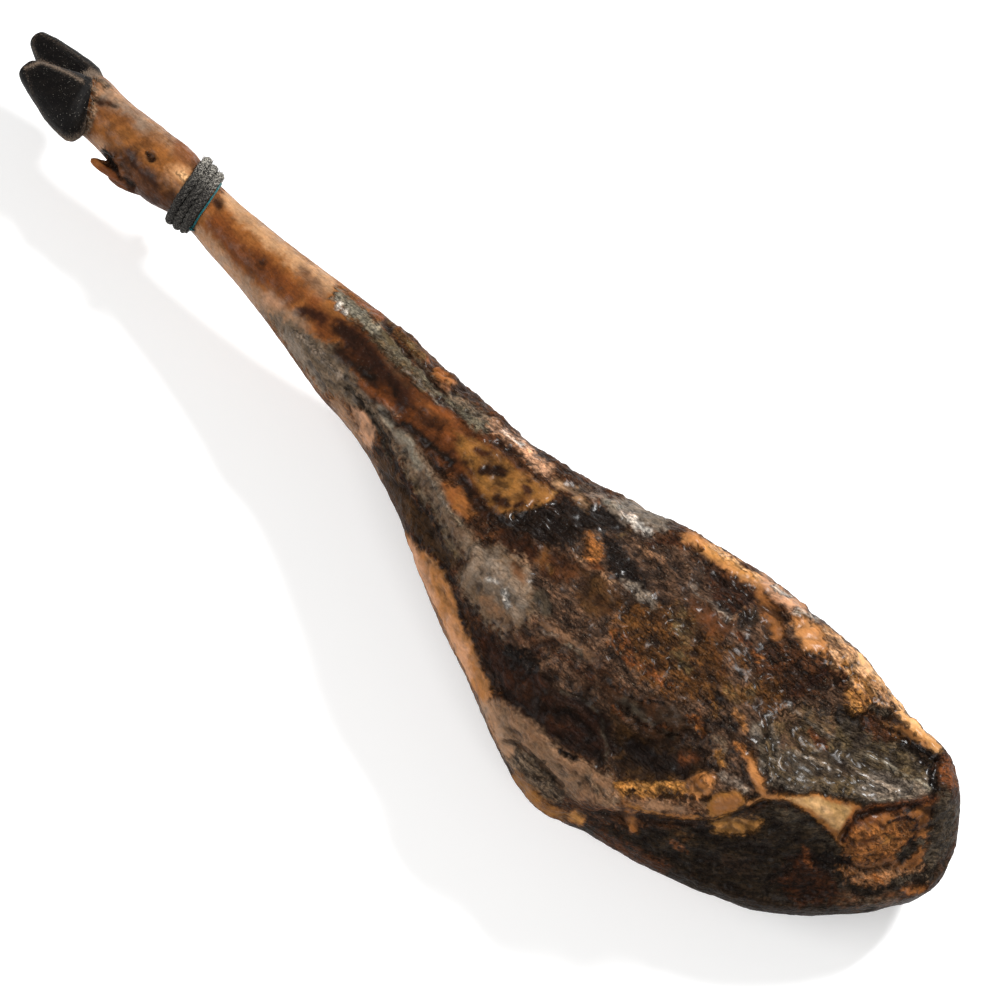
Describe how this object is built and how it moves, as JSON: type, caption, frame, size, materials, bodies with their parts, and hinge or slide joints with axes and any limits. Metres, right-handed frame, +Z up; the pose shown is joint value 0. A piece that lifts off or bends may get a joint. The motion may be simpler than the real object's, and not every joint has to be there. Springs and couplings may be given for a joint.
{
  "type": "cured ham",
  "caption": "Whole dry-cured ham on the bone with a trimmed meat face, a cloven black hoof and a cord tied round the shank, lying on its rind.",
  "frame": {"origin": "centre of the bounding box in plan, on the surface that the ham lies on", "axes": "+X along the leg from the hoof to the butt end, +Z up out of the trimmed face, +Y to the side of the fat rim, away from the dewclaws"},
  "size_m": [0.7588, 0.1872, 0.1097],
  "materials": {
    "cured_meat": "oily, waxy and uneven, from satin to glossy",
    "horn": "satin, dusty at the edges",
    "cord": "matte, fuzzy twisted fibre",
    "thread": "satin"
  },
  "bodies": {
    "root": {"ham_leg": "cured_meat", "claw_upper": "horn", "claw_lower": "horn", "tie_cord": "cord", "tie_thread": "thread"}
  },
  "joints": []
}
